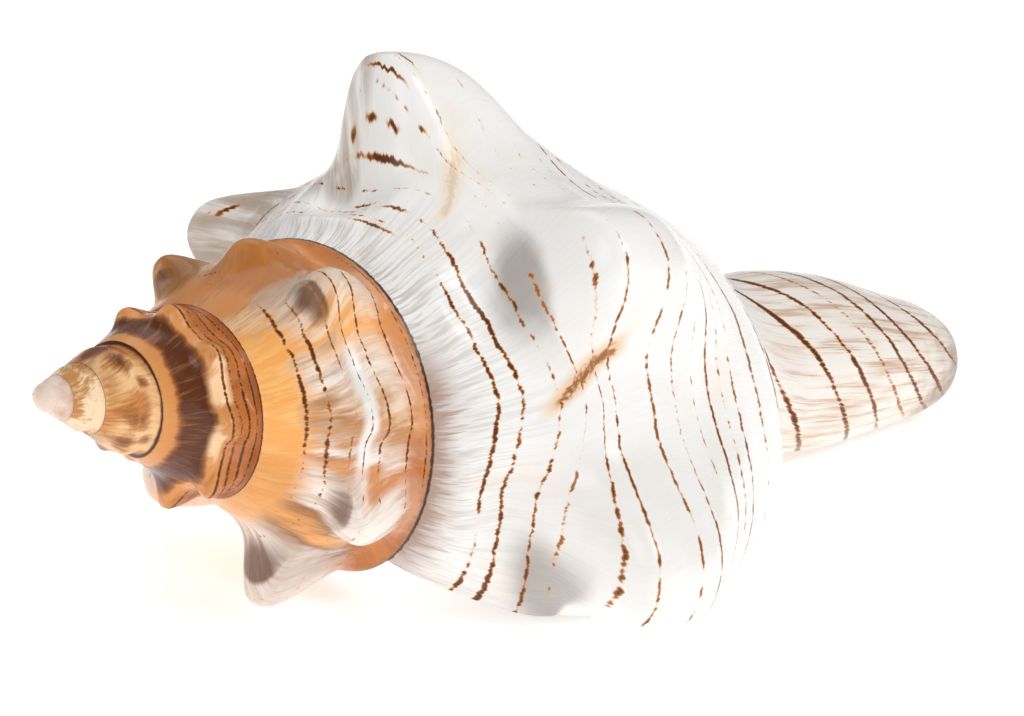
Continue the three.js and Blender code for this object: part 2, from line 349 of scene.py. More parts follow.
def outer_body():
    """The whorls with shared sutures, the base and the canal, closed across the aperture."""
    sheet = Sheet()
    last = round((LIP_AT_SUTURE - FIRST_WHORL) * COLUMNS)
    start = last - COLUMNS
    tip_point = place(np.array([0.0]), np.array([SHELL_LENGTH]), np.array([0.0]))
    tip = sheet.add([0], [TIP], tip_point)[0]
    columns = []
    for column in range(last + 1):
        t = LIP_AT_SUTURE + (column - last) / COLUMNS
        q = rows_of(column, last)
        shared_end = column + COLUMNS <= last or q[-1] == TIP
        own = q[:-1] if shared_end else q
        turn = angle_of(np.full(len(own), t), own)
        r, a = surface(turn, own)
        columns.append(sheet.add(np.full(len(own), t), own, place(r, a, turn)))
    for column, ids in enumerate(columns):
        t = LIP_AT_SUTURE + (column - last) / COLUMNS
        if column >= start:
            ids.append((tip[0], t, float(TIP)))
        else:
            ids.append((columns[column + COLUMNS][0][0], t, float(SUTURE)))
        if column == start:
            ids[first_base_place(ids)] = (columns[last][0][0], t, float(SUTURE))
    for column in range(last):
        left = columns[column]
        right = columns[column + 1]
        if column < start:
            right = [corner for corner in right if corner[2] <= SUTURE + TINY]
        sheet.strip(left, right)
    return sheet, columns, start, last


# Rings of the rounded apex, from its rim at 0 to its point at 1
APEX_RINGS = (0.2, 0.4, 0.6, 0.8)
# Its faces are marked with one row, away from the sutures
APEX_ROW = 2.0


def close_body(sheet, columns, start, last):
    """Closes the apex with a round cap, and the aperture with a skin that the chamber is cut through."""
    apex = sheet.add([0], [0], np.zeros((1, 3)))[0]
    rim = [columns[c][0] for c in range(COLUMNS)] + columns[0][::-1][:-1]
    rim = [(vertex, t, APEX_ROW) for vertex, t, _ in rim]
    places = np.concatenate(sheet.points)[[corner[0] for corner in rim]]
    for share in APEX_RINGS:
        up = math.pi / 2 * share
        ring = places * (1 - math.sin(up), math.cos(up), math.cos(up))
        inner = sheet.add([corner[1] for corner in rim], [corner[2] for corner in rim], ring)
        for n, corner in enumerate(rim):
            after = (n + 1) % len(rim)
            sheet.face(inner[n], inner[after], rim[after], corner)
        rim = inner
    for n, corner in enumerate(rim):
        after = rim[(n + 1) % len(rim)]
        sheet.face((apex[0], corner[1], APEX_ROW), after, corner)
    lip = columns[last]
    edge = columns[start]
    suture = first_base_place(lip)
    for n in range(1, suture):
        sheet.face(lip[0], lip[n + 1], lip[n])
    for n in range(suture, len(lip) - 1):
        sheet.face(lip[n], edge[n], edge[n + 1], lip[n + 1])


def offset(t, q, by, knob_share):
    """Points of the surface moved along its normal, outwards if by is positive."""
    turn = angle_of(t, q)
    step = 0.05
    before, here, after = (surface(turn, q + d, knob_share) for d in (-step, 0, step))
    dr, da = after - before
    length = np.hypot(dr, da)
    return place(here[0] + da / length * by, here[1] - dr / length * by, turn)


def loft(loops, name, growths, rows):
    """A closed mesh through closed loops; growths and rows are the coordinates of each point."""
    count = len(loops[0])
    points = np.concatenate([*loops, [loops[0].mean(0), loops[-1].mean(0)]])
    faces = []
    for k in range(len(loops) - 1):
        for i in range(count):
            j = (i + 1) % count
            faces.append((k * count + i, (k + 1) * count + i, (k + 1) * count + j, k * count + j))
    first = len(points) - 2
    top = (len(loops) - 1) * count
    for i in range(count):
        j = (i + 1) % count
        faces.append((first, i, j))
        faces.append((first + 1, top + j, top + i))
    mesh = bpy.data.meshes.new(name)
    mesh.from_pydata(points.tolist(), [], faces)
    growths = np.append(np.ravel(growths), [growths[0][0], growths[-1][0]])
    rows = np.append(np.ravel(rows), [rows[0][0], rows[-1][0]])
    corners = np.array([(growths[v], rows[v] + INNER_ROWS) for face in faces for v in face], np.float32)
    mesh.uv_layers.new(name="growth").data.foreach_set("uv", corners.ravel())
    return mesh


# Chamber in the last whorl, in whorls, with the rows that its outer and inner wall follow
CHAMBER_TURNS = (LIP_AT_SUTURE - 1.05, LIP_AT_SUTURE + 0.08)
CHAMBER_STEPS = 150
CHAMBER_OUTER = np.linspace(0.5, 7.7, 44)
CHAMBER_INNER = np.linspace(7.9, 5.25, 20)
# How much of the knobs it follows inside, and the growth over which it opens to all of them
CHAMBER_KNOB_SHARE = 0.45
CHAMBER_OPENS = (LIP_AT_SUTURE - 0.3, LIP_AT_SUTURE)


def chamber():
    loops = []
    growths = []
    for t in np.linspace(*CHAMBER_TURNS, CHAMBER_STEPS):
        opening = smooth(*CHAMBER_OPENS, t)
        share = CHAMBER_KNOB_SHARE + (1 - CHAMBER_KNOB_SHARE) * opening
        outer = offset(np.full(len(CHAMBER_OUTER), t), CHAMBER_OUTER, -WALL, share)
        inner = offset(np.full(len(CHAMBER_INNER), t - 1), CHAMBER_INNER, CALLUS, 0)
        loops.append(np.concatenate([outer, inner]))
        growths.append([t] * len(loops[-1]))
    rows = [np.concatenate([CHAMBER_OUTER, CHAMBER_INNER])] * len(loops)
    return loft(loops, "chamber", growths, rows)


# Canal groove, cut between the lip and the columella edge: depths at some rows, what is left of
# each edge, how much rounder the groove is inside, and how far the cut reaches outside
GROOVE_ROWS = (7.2, 7.6, 8, 8.5, 9, 9.5, 10, 11, 12, 13, 13.6, 14)
GROOVE_DEPTHS = (6, 7, 8, 8.6, 9.2, 10.4, 11, 10.4, 8.4, 6.4, 5, 4.2)
GROOVE_STEPS = 90
GROOVE_ARC = 32
LIP_WALL = 1.3
COLUMELLA_WALL = 0.5
GROOVE_BULGE = 0.22
GROOVE_REACH = 14
GROOVE_PAST_TIP = 6
# Growth that its markings run through from the lip to the columella edge
GROOVE_GROWTH = 0.2


def edge_point(t, q):
    turn = angle_of(np.array([t]), np.array([q]))
    return place(*surface(turn, np.array([q])), turn)[0]


def canal_groove():
    """The groove runs on from the aperture. Each section spans the slot at one row."""
    loops = []
    rows = []
    angle = np.linspace(0, np.pi, GROOVE_ARC)[:, None]
    for q in np.linspace(GROOVE_ROWS[0], GROOVE_ROWS[-1], GROOVE_STEPS):
        depth = np.interp(q, GROOVE_ROWS, GROOVE_DEPTHS)
        lip = edge_point(LIP_AT_SUTURE, q)
        columella = edge_point(LIP_AT_SUTURE - 1, q)
        across = columella - lip
        width = np.linalg.norm(across)
        across = across / width
        lip = lip + across * LIP_WALL
        columella = columella - across * COLUMELLA_WALL
        middle = (lip + columella) / 2
        out = middle * (0, 1, 1)
        out = out - across * (out @ across)
        out = out / np.linalg.norm(out)
        half = (width - LIP_WALL - COLUMELLA_WALL) / 2
        aside = -half * np.cos(angle) * (1 + GROOVE_BULGE * np.sin(angle) ** 2)
        floor_arc = middle + across * aside - out * depth * np.sin(angle)
        loops.append(np.array([lip + out * GROOVE_REACH, *floor_arc, columella + out * GROOVE_REACH]))
        rows.append([q] * len(loops[-1]))
    loops.append(loops[-1] + (GROOVE_PAST_TIP, 0, 0))
    rows.append(rows[-1])
    across_loop = np.linspace(LIP_AT_SUTURE, LIP_AT_SUTURE - GROOVE_GROWTH, len(loops[0]))
    growths = [across_loop] * len(loops)
    return loft(loops, "canal_groove", growths, rows)


def cut(body, cutter_mesh):
    """Takes a closed mesh out of the body, keeping the body's own face corners."""
    cutter = bpy.data.objects.new("cutter", cutter_mesh)
    bpy.context.scene.collection.objects.link(cutter)
    modifier = body.modifiers.new("cut", "BOOLEAN")
    modifier.operation = "DIFFERENCE"
    modifier.solver = "MANIFOLD"
    modifier.object = cutter
    graph = bpy.context.evaluated_depsgraph_get()
    result = bpy.data.meshes.new_from_object(body.evaluated_get(graph))
    body.modifiers.clear()
    body.data = result
    bpy.data.objects.remove(cutter)


def corner_uv(mesh, name):
    values = np.empty(len(mesh.loops) * 2, np.float32)
    mesh.uv_layers[name].data.foreach_get("uv", values)
    return values.reshape(-1, 2).astype(float)


def set_corner_uv(mesh, name, values):
    layer = mesh.uv_layers.get(name) or mesh.uv_layers.new(name=name)
    layer.data.foreach_set("uv", values.astype(np.float32).ravel())


def set_corner_float(mesh, name, values):
    layer = mesh.attributes.new(name, "FLOAT", "CORNER")
    layer.data.foreach_set("value", values.astype(np.float32))


# Rows of the inner faces are stored with this added, so that they can be told from the outside
INNER_ROWS = 20
# Spiral lines on the canal climb this many mm a whorl, and lie this many mm apart for each row
LINE_PITCH = 64
LINE_STEP = 6.5
# Rows over which they take over from the body's lines, which follow the rows
CANAL_LINE_ROWS = (6, 9.5)
# Where they start: a row, its height in mm, and the growth where it is at that height
LINE_START = (9, 104, 0.25)

# Painted shade in the hollows beside the knobs: the width to half depth, as a share of half the step
# between knobs
SHADE_HOLLOW_WIDTH = 0.42
# Heights of knobs from which the painted shade starts to show and is full, and rows over which it fades
# in
SHADE_HOLLOW_KNOBS = (5, 8.5)
SHADE_HOLLOW_START = (1.3, 2.05)
# The painted shade of the last knobs lies this many degrees later than their crests
SHADE_HOLLOW_LATER = 17
SHADE_HOLLOW_LATER_FROM = (0.22, 0.3)
# The tallest knob has none: growth where the painted shade stops, and where it goes on
SHADE_HOLLOW_STOPS = (-0.2, -0.12)
SHADE_HOLLOW_GOES_ON = (0.09, 0.12)
# Row where the painted shade ends, and how much further it reaches on the last knobs
SHADE_HOLLOW_EDGE = 2.1
SHADE_HOLLOW_EDGE_LATE = 0.36
SHADE_HOLLOW_EDGE_LATE_FROM = (0.1, 0.3)
SHADE_HOLLOW_EDGE_SOFT = 0.24
# Rows by which the painted shade of the knob after the tallest one slants in a whorl, and that knob's
# growth
SHADE_HOLLOW_SLANT = 6
SHADE_HOLLOW_SLANT_AT = 0.189
SHADE_HOLLOW_SLANT_FROM = (0.1, 0.12)


def markings(mesh):
    """Stores what the material needs at each face corner, worked out from growth t and row q."""
    column, row = corner_uv(mesh, "growth").T
    inner = row > INNER_ROWS - 1
    q = np.where(inner, row - INNER_ROWS, row)
    turn = np.where(inner, column, angle_of(column, q))
    height = surface(turn, q)[1]
    on_canal = smooth(*CANAL_LINE_ROWS, q)
    start_row, start_height, start_growth = LINE_START
    canal_line = start_row + (height - start_height - LINE_PITCH * (turn - start_growth)) / LINE_STEP
    line = q + (canal_line - q) * on_canal
    set_corner_uv(mesh, "growth", np.stack([turn, q], -1))
    set_corner_uv(mesh, "lines", np.stack([turn - lip_lag(q), line], -1))
    set_corner_float(mesh, "inside", inner * 1.0)
    # Painted shade in the hollows beside the knobs, stored for the material
    set_corner_float(mesh, "hollow_shade", painted_shade_beside_knobs(turn, q))


def painted_shade_beside_knobs(turn, q):
    """How much shade is painted at growth turn and row q: 1 where it is deepest, in the middle of the
    hollows beside the knobs.
    """
    late = smooth(*SHADE_HOLLOW_LATER_FROM, turn)
    goes_on = smooth(*SHADE_HOLLOW_GOES_ON, turn)
    height, _, off = nearest_knob(turn * 360 - SHADE_HOLLOW_LATER * late)
    slant = SHADE_HOLLOW_SLANT * (turn - SHADE_HOLLOW_SLANT_AT) * smooth(*SHADE_HOLLOW_SLANT_FROM, turn) * (1 - late)
    slanted = q + slant
    hollow_shade = 0.5 ** ((off / SHADE_HOLLOW_WIDTH) ** 2) * smooth(*SHADE_HOLLOW_KNOBS, height)
    hollow_shade = hollow_shade * smooth(*SHADE_HOLLOW_START, slanted) * (1 - smooth(*SHADE_HOLLOW_STOPS, turn) * (1 - goes_on))
    edge = SHADE_HOLLOW_EDGE + SHADE_HOLLOW_EDGE_LATE * smooth(*SHADE_HOLLOW_EDGE_LATE_FROM, turn)
    return hollow_shade * (1 - smooth(edge, edge + SHADE_HOLLOW_EDGE_SOFT, slanted))


def linear(red, green, blue):
    """A shader colour from 0-255 screen values."""
    channels = [c / 255 for c in (red, green, blue)]
    return (*(c / 12.92 if c <= 0.04045 else ((c + 0.055) / 1.055) ** 2.4 for c in channels), 1)


class Graph:
    """Short names for the shader nodes that the markings are made of."""

    def __init__(self, name):
        self.material = bpy.data.materials.new(name)
        self.material.use_nodes = True
        self.tree = self.material.node_tree
        self.shader = self.tree.nodes["Principled BSDF"]

    def node(self, kind, inputs=(), output=0, **settings):
        node = self.tree.nodes.new(kind)
        for name, value in settings.items():
            setattr(node, name, value)
        for key, value in dict(inputs).items():
            if isinstance(value, bpy.types.NodeSocket):
                self.tree.links.new(value, node.inputs[key])
            else:
                node.inputs[key].default_value = value
        return node.outputs[output]

    def attribute(self, name, output="Fac"):
        return self.node("ShaderNodeAttribute", output=output, attribute_name=name)

    def uv(self, name):
        vector = self.node("ShaderNodeUVMap", uv_map=name)
        split = self.tree.nodes.new("ShaderNodeSeparateXYZ")
        self.tree.links.new(vector, split.inputs[0])
        return split.outputs[0], split.outputs[1]

    def math(self, operation, a, b=0.0, c=0.0):
        return self.node("ShaderNodeMath", {0: a, 1: b, 2: c}, operation=operation)

    def add(self, a, b):
        return self.math("ADD", a, b)

    def sub(self, a, b):
        return self.math("SUBTRACT", a, b)

    def times(self, a, b):
        return self.math("MULTIPLY", a, b)

    def smooth(self, x, start, end):
        """0 below start, 1 above end, or the other way round if start is the larger."""
        inputs = {"Value": x, "From Min": start, "From Max": end}
        return self.node("ShaderNodeMapRange", inputs, interpolation_type="SMOOTHSTEP")

    def between(self, x, start, end, soft):
        """1 from start to end, fading over soft outside them."""
        return self.times(self.smooth(x, start - soft, start), self.smooth(x, end + soft, end))

    def mix(self, share, a, b):
        """Colour a where share is 0, and b where it is 1."""
        return self.node("ShaderNodeMix", {0: share, 6: a, 7: b}, output=2, data_type="RGBA")

    def vector(self, x, y, z=0.0):
        return self.node("ShaderNodeCombineXYZ", {0: x, 1: y, 2: z})

    def noise(self, vector, scale=1.0, detail=2.0, roughness=0.5):
        inputs = {"Vector": vector, "Scale": scale, "Detail": detail, "Roughness": roughness}
        return self.node("ShaderNodeTexNoise", inputs)

    def ramp(self, x, stops):
        """Colours between stops, each (place from 0 to 1, colour)."""
        node = self.tree.nodes.new("ShaderNodeValToRGB")
        elements = node.color_ramp.elements
        while len(elements) < len(stops):
            elements.new(1)
        for element, (place_at, colour) in zip(elements, stops):
            element.position = place_at
            element.color = colour
        self.tree.links.new(x, node.inputs[0])
        return node.outputs[0]

    def lines(self, x, lines, low, high, half):
        """Peaks at the given places, each (place, strength), between low and high."""
        span = high - low
        stops = [(0, (0, 0, 0, 1))]
        for at, strength in lines:
            for offset_by, value in ((-half, 0), (0, strength), (half, 0)):
                stops.append(((at + offset_by - low) / span, (value, value, value, 1)))
        return self.ramp(self.math("DIVIDE", self.sub(x, low), span), stops)


# Spiral lines as (row, strength): on the two whorls above the last, on the last whorl, its base and canal
BANDED_LINES = ((3.0, 0.9), (3.4, 0.7), (3.85, 1), (4.4, 0.9))
SPIRE_LINES = ((1.25, 0.9), (1.6, 0.9), (2.05, 0.5), (2.6, 0.8), (3.2, 0.85), (3.92, 0.95), (4.62, 0.9))
BODY_LINES = (
    (1.2, 1), (1.45, 1), (1.84, 0.85), (2.23, 0.5), (2.68, 0.7),
    (2.99, 0.66), (3.6, 0.62), (4.0, 0.66), (4.55, 0.6),
)
BASE_LINES = ((5.05, 0.7), (5.4, 0.65), (5.72, 0.75), (6.3, 0.7), (6.9, 0.8), (7.6, 0.7), (8.3, 0.8))
CANAL_LINES = (
    (9.18, 1), (10.57, 1), (11.54, 1), (12.4, 0.5), (13.15, 1), (13.95, 1), (15.1, 0.9), (16.3, 0.8),
)
# Dark blotches on the third whorl: growth, row, half length in whorls, half width in rows
EARLY_SPOTS = (
    (-2.87, 2.1, 0.03, 0.7), (-2.78, 3.4, 0.016, 0.5), (-2.97, 2.0, 0.03, 1.2),
    (-2.67, 1.9, 0.034, 0.7), (-2.66, 3.1, 0.022, 0.6), (-2.58, 2.1, 0.036, 1.0),
    (-2.59, 3.6, 0.02, 0.5), (-2.35, 2.2, 0.05, 0.9), (-2.15, 2.0, 0.04, 0.8),
    (-3.2, 2.2, 0.04, 0.9),
)
# Short brown dashes on the knobs of the last whorl: growth, row, half length, half width
KNOB_DASHES = (
    (0.047, 2.25, 0.024, 0.036), (0.037, 2.82, 0.011, 0.017), (0.040, 3.07, 0.007, 0.015),
    (0.033, 2.50, 0.004, 0.03), (0.047, 2.50, 0.004, 0.03), (0.018, 2.40, 0.003, 0.06),
    (0.045, 1.60, 0.012, 0.03), (0.082, 1.46, 0.012, 0.03), (0.085, 1.08, 0.02, 0.03),
    (-0.100, 2.58, 0.008, 0.04), (-0.078, 1.90, 0.015, 0.05),
)

# Greys, whites and creams
WHITE = linear(247, 246, 244)
SOFT_WHITE = linear(245, 241, 236)
LILAC_GREY = linear(178, 166, 160)
# Grey of the shade painted into the hollows beside the knobs
PAINTED_SHADE_GREY = linear(152, 143, 138)
IVORY = linear(250, 240, 230)
IVORY_GREY = linear(214, 200, 188)
CANAL_CREAM = linear(242, 226, 208)
INNER_CREAM = linear(252, 243, 232)
INNER_APRICOT = linear(247, 222, 196)
CREAM = linear(250, 220, 182)
WARM_CREAM = linear(246, 198, 142)
PATCH_CREAM = linear(254, 214, 168)
CREST_CREAM = linear(240, 212, 178)
PALE_APRICOT = linear(242, 216, 184)
PEACH = linear(248, 216, 186)
WORN_PINK = linear(238, 216, 200)
# Oranges and golds
GOLD = linear(252, 196, 124)
ORANGE = linear(248, 172, 92)
SALMON = linear(224, 150, 92)
WORN_TAN = linear(206, 160, 132)
TAN = linear(206, 144, 86)
DEEP_SALMON = linear(204, 126, 64)
OCHRE = linear(196, 120, 52)
DARK_GOLD = linear(196, 136, 70)
BURNT_ORANGE = linear(186, 112, 48)
STAIN_ORANGE = linear(238, 176, 92)
FAINT_STAIN = linear(250, 226, 190)
# Tans and browns
CANAL_TAN = linear(206, 164, 124)
CANAL_STREAK = linear(188, 140, 98)
# Grey-tan of the shade painted beside the tallest knob
FLANK_SHADE_TAN = linear(170, 148, 126)
DUSTY_TAN = linear(176, 118, 72)
DUSTY_BROWN = linear(170, 116, 70)
BLOTCH_EDGE = linear(172, 104, 46)
LOW_BROWN = linear(170, 98, 40)
SPECKLE_BROWN = linear(150, 104, 66)
SUTURE_STAIN = linear(150, 100, 66)
UMBER = linear(150, 98, 54)
WRINKLE_BROWN = linear(150, 88, 40)
BAND_STREAK = linear(150, 82, 34)
PAUSE_BROWN = linear(148, 84, 26)
TIP_BROWN = linear(150, 122, 98)
RIM_BROWN = linear(138, 72, 34)
# Deep brown for the hollows beside the knobs: partly the shell's own brown, partly painted shade
HOLLOW_SHADE_UMBER = linear(104, 66, 38)
BLOTCH_CORE = linear(98, 44, 12)
EARLY_SEAM = linear(70, 26, 10)
SEAM_BROWN = linear(58, 24, 8)
LINE_BROWN = linear(92, 46, 12)
LINE_TAN = linear(168, 104, 48)
LINE_HALO = linear(230, 166, 92)

# Colours across the banded whorl, from its upper suture at 0 to its lower one at 1
BAND_STOPS = (
    (0.0, BURNT_ORANGE),
    (0.04, linear(222, 152, 88)),
    (0.17, linear(216, 144, 80)),
    (0.2, linear(150, 80, 34)),
    (0.225, linear(98, 48, 18)),
    (0.36, linear(88, 42, 14)),
    (0.395, linear(150, 84, 36)),
    (0.43, linear(226, 156, 92)),
    (0.55, linear(220, 148, 84)),
    (0.7, linear(196, 114, 54)),
    (0.85, linear(196, 112, 52)),
    (1.0, linear(160, 80, 32)),
)
# Colours along the knobs and valleys of the penultimate whorl, by growth
SPIRE_FIRST = -1.3
SPIRE_STOPS = (
    (-1.2, PEACH), (-1.12, TAN), (-1.06, UMBER), (-1.01, TAN), (-0.945, BURNT_ORANGE),
    (-0.9, BURNT_ORANGE), (-0.865, IVORY_GREY), (-0.835, PEACH), (-0.815, ORANGE), (-0.785, PEACH),
    (-0.755, IVORY), (-0.72, PEACH), (-0.7, TAN), (-0.675, IVORY), (-0.655, SALMON), (-0.63, IVORY),
    (-0.59, IVORY), (-0.57, UMBER), (-0.55, ORANGE), (-0.52, UMBER), (-0.5, IVORY_GREY), (-0.46, IVORY),
    (-0.42, IVORY_GREY), (-0.4, ORANGE),
)
# Pale patches of the banded whorl: growth from and to, fade, rows from and to, fade
BAND_PATCHES = (
    (-1.775, -1.735, 0.03, 2.2, 3.1, 0.4),
    (-1.645, -1.615, 0.025, 2.1, 2.5, 0.3),
)
# Stains of growth pauses: growth, rows from and to, colour, share of the brown core
PAUSES = (
    (0.293, (1.85, 3.05), STAIN_ORANGE, 0.9),
    (0.129, (1.7, 2.9), FAINT_STAIN, 0.2),
)
# Growth over which each zone of colour gives way to the next
AGES = ((-4.5, -4.3), (-3.4, -3.2), (-2.4, -2.15), (-1.4, -1.15), (-0.42, -0.2))
# The gloss, and the middle and spread of the roughness
SHELL_GLOSS = {"Specular IOR Level": 0.24, "Coat Weight": 0.2, "Coat Roughness": 0.08}
ROUGHNESS = 0.27
ROUGHNESS_SPREAD = 0.25
RELIEF = {"Strength": 0.4, "Distance": 0.0002}


class ShellGraph(Graph):
    """The shell's colours, zone by zone, from growth (in whorls) and rows between the sutures, with shade
    painted into the hollows beside the knobs and one painted highlight.
    """

    def __init__(self):
        super().__init__("polished_shell")
        self.turn, self.q = self.uv("growth")
        self.grown, self.line = self.uv("lines")
        self.blotch = self.noise(self.node("ShaderNodeTexCoord", output="Object"), 140, 4, 0.6)
        self.streak = self.along_growth(70, 0.55, 4)
        self.cloud = self.noise(self.node("ShaderNodeTexCoord", output="Object"), 150, 1, 0.5)
        self.hair = self.along_growth(330, 0.8, 3)
        self.broad = self.along_growth(15, 0.5, 3)
        self.meander = self.along_growth(34, 0.5, 2)
        self.dash = self.along_lines(170.0, 3.0, 2, 0.6)
        self.presence = self.along_lines(12.0, 2.3, 1, 0.5)
        wander = self.add(self.spread(self.meander, 0.14), self.spread(self.hair, 0.07))
        self.wavy = self.add(self.line, wander)

    def along_growth(self, per_whorl, per_row, detail):
        """Noise drawn out along the growth lines."""
        where = self.vector(self.times(self.grown, float(per_whorl)), self.times(self.q, per_row))
        return self.noise(where, 1, detail, 0.62)

    def along_lines(self, per_whorl, per_line, detail, roughness):
        """Noise that breaks up the spiral lines."""
        where = self.vector(self.times(self.grown, per_whorl), self.times(self.line, per_line))
        return self.noise(where, 1, detail, roughness)

    def spread(self, noise, gain):
        """Noise about 0, from -gain / 2 to gain / 2."""
        return self.times(self.sub(noise, 0.5), gain)

    def frayed(self, x, noise, gain, start, end):
        """A smooth step over x with an edge made ragged by noise."""
        return self.smooth(self.add(x, self.spread(noise, gain)), start, end)

    def drawn(self, lines, low, high, threshold, half):
        """The dark core, the tan core and the halo of a family of broken spiral lines."""
        peak = self.lines(self.wavy, lines, low, high, half)
        gaps = self.add(self.spread(self.dash, 2.4), self.spread(self.presence, 1.8))
        limit = self.add(threshold, gaps)
        limit = self.math("MAXIMUM", limit, 0.22)
        over = self.sub(peak, limit)
        halo = self.times(self.smooth(over, -0.3, 0.1), self.smooth(peak, 0.02, 0.35))
        return self.smooth(over, 0.12, 0.42), self.smooth(over, -0.06, 0.1), halo

    def over_lines(self, colour, lines, low, high, threshold, half, halo_share=0.72):
        dark, tan, halo = self.drawn(lines, low, high, threshold, half)
        colour = self.mix(self.times(halo, halo_share), colour, LINE_HALO)
        return self.mix(dark, self.mix(tan, colour, LINE_TAN), LINE_BROWN)

    def worn_tip(self):
        return self.mix(self.smooth(self.blotch, 0.42, 0.62), WORN_PINK, WORN_TAN)

    def cream_whorl(self):
        gold = self.frayed(self.blotch, self.streak, 0.4, 0.42, 0.56)
        colour = self.mix(gold, CREAM, DARK_GOLD)
        spots = self.times(self.smooth(self.blotch, 0.54, 0.64), self.between(self.q, 2.0, 4.0, 0.6))
        return self.mix(self.times(spots, 0.8), colour, UMBER)

    def mottled_whorl(self):
        golden = self.frayed(self.cloud, self.streak, 0.4, 0.38, 0.62)
        colour = self.mix(golden, WARM_CREAM, OCHRE)
        speckle = self.times(self.smooth(self.blotch, 0.36, 0.6), self.smooth(self.q, 1.7, 1.0))
        colour = self.mix(self.times(speckle, 0.75), colour, SPECKLE_BROWN)
        low = self.times(self.smooth(self.cloud, 0.44, 0.58), self.smooth(self.q, 2.6, 3.6))
        colour = self.mix(self.times(low, 0.6), colour, LOW_BROWN)
        spots = 0.0
        for spot in EARLY_SPOTS:
            spots = self.math("MAXIMUM", spots, self.spot(*spot))
        ragged = self.add(self.spread(self.blotch, 2.8), self.spread(self.streak, 1.0))
        ragged = self.add(spots, ragged)
        colour = self.mix(self.times(self.smooth(ragged, 0.1, 0.7), 0.8), colour, BLOTCH_EDGE)
        colour = self.mix(self.times(self.smooth(ragged, 0.45, 1.05), 0.85), colour, BLOTCH_CORE)
        seam = self.frayed(self.q, self.blotch, 1.2, 4.25, 4.6)
        return self.mix(seam, colour, EARLY_SEAM)

    def spot(self, turn, row, length, width):
        """1 in the middle of a round mark, falling to 0 over 2.6 times its half length and width."""
        return self.smooth(self.off_middle(self.q, turn, row, length, width), 2.6, 0.0)

    def off_middle(self, q, turn, row, length, width):
        """How far from the middle of an oval mark, 1 on its rim."""
        along = self.math("DIVIDE", self.sub(self.turn, turn), length)
        across = self.math("DIVIDE", self.sub(q, row), width)
        return self.math("SQRT", self.add(self.times(along, along), self.times(across, across)))

    def banded_whorl(self):
        at = self.math("DIVIDE", self.add(self.q, self.spread(self.meander, 0.5)), 5.0)
        colour = self.ramp(at, BAND_STOPS)
        light = self.times(self.smooth(self.streak, 0.5, 0.66), self.between(self.q, 0.9, 2.0, 0.2))
        colour = self.mix(self.times(light, 0.45), colour, DUSTY_TAN)
        dark = self.times(self.smooth(self.broad, 0.5, 0.62), self.between(self.q, 2.0, 4.6, 0.4))
        colour = self.mix(self.times(dark, 0.4), colour, BAND_STREAK)
        ragged = self.add(self.spread(self.blotch, 0.12), self.spread(self.streak, 0.05))
        where = self.add(self.turn, ragged)
        patches = []
        for start, end, soft, low, high, row_soft in BAND_PATCHES:
            patch = self.between(where, start, end, soft)
            patches.append(self.times(patch, self.between(self.q, low, high, row_soft)))
        patch = self.math("MAXIMUM", *patches)
        colour = self.mix(self.times(patch, 0.9), colour, PATCH_CREAM)
        return self.over_lines(colour, BANDED_LINES, 0, 5, 0.3, 0.13, 0.2)

    def spire_side(self):
        """Knobs and valleys of the penultimate whorl, in streaks along the growth lines."""
        ragged = self.add(self.spread(self.broad, 0.10), self.spread(self.streak, 0.07))
        at = self.add(self.turn, ragged)
        stops = [(growth - SPIRE_FIRST, colour) for growth, colour in SPIRE_STOPS]
        return self.ramp(self.sub(at, SPIRE_FIRST), stops)

    def penultimate_whorl(self):
        gold = self.frayed(self.streak, self.hair, 0.5, 0.4, 0.68)
        ramp = self.mix(gold, ORANGE, GOLD)
        later = self.times(self.smooth(self.turn, -0.68, -0.6), 0.45)
        shaded = self.add(self.smooth(self.turn, -0.8, -0.9), later)
        ramp = self.mix(self.times(shaded, 0.75), ramp, BURNT_ORANGE)
        crest = self.between(self.turn, -0.868, -0.85, 0.02)
        crest = self.times(crest, self.smooth(self.streak, 0.35, 0.6))
        ramp = self.mix(self.times(crest, 0.7), ramp, CREST_CREAM)
        wrinkles = self.frayed(self.streak, self.hair, 0.8, 0.5, 0.66)
        wrinkles = self.times(wrinkles, self.smooth(self.turn, -0.78, -0.88))
        ramp = self.mix(self.times(wrinkles, 0.5), ramp, WRINKLE_BROWN)
        side = self.spire_side()
        fine = self.frayed(self.hair, self.streak, 0.6, 0.46, 0.62)
        side = self.mix(self.times(fine, 0.22), side, UMBER)
        upper = self.frayed(self.streak, self.broad, 0.5, 0.44, 0.6)
        upper = self.times(upper, self.smooth(self.q, 2.8, 1.6))
        side = self.mix(self.times(upper, 0.45), side, DUSTY_BROWN)
        off_ramp = self.frayed(self.q, self.streak, 0.9, 1.0, 1.55)
        colour = self.mix(off_ramp, ramp, side)
        # Brown and painted shade together in the hollows beside the knobs
        hollow_shade = self.add(self.attribute("hollow_shade"), self.spread(self.streak, 0.5))
        hollow_shade = self.smooth(hollow_shade, 0.25, 0.8)
        depth = self.sub(0.85, self.times(self.smooth(self.turn, -0.4, -0.3), 0.35))
        colour = self.mix(self.times(hollow_shade, depth), colour, HOLLOW_SHADE_UMBER)
        low = self.frayed(self.q, self.streak, 1.2, 3.5, 4.2)
        lower = self.mix(self.smooth(self.turn, -0.74, -0.66), SALMON, DEEP_SALMON)
        colour = self.mix(self.times(low, 0.8), colour, lower)
        rim = self.frayed(self.q, self.streak, 0.9, 4.45, 5.0)
        colour = self.mix(self.times(rim, 0.55), colour, RIM_BROWN)
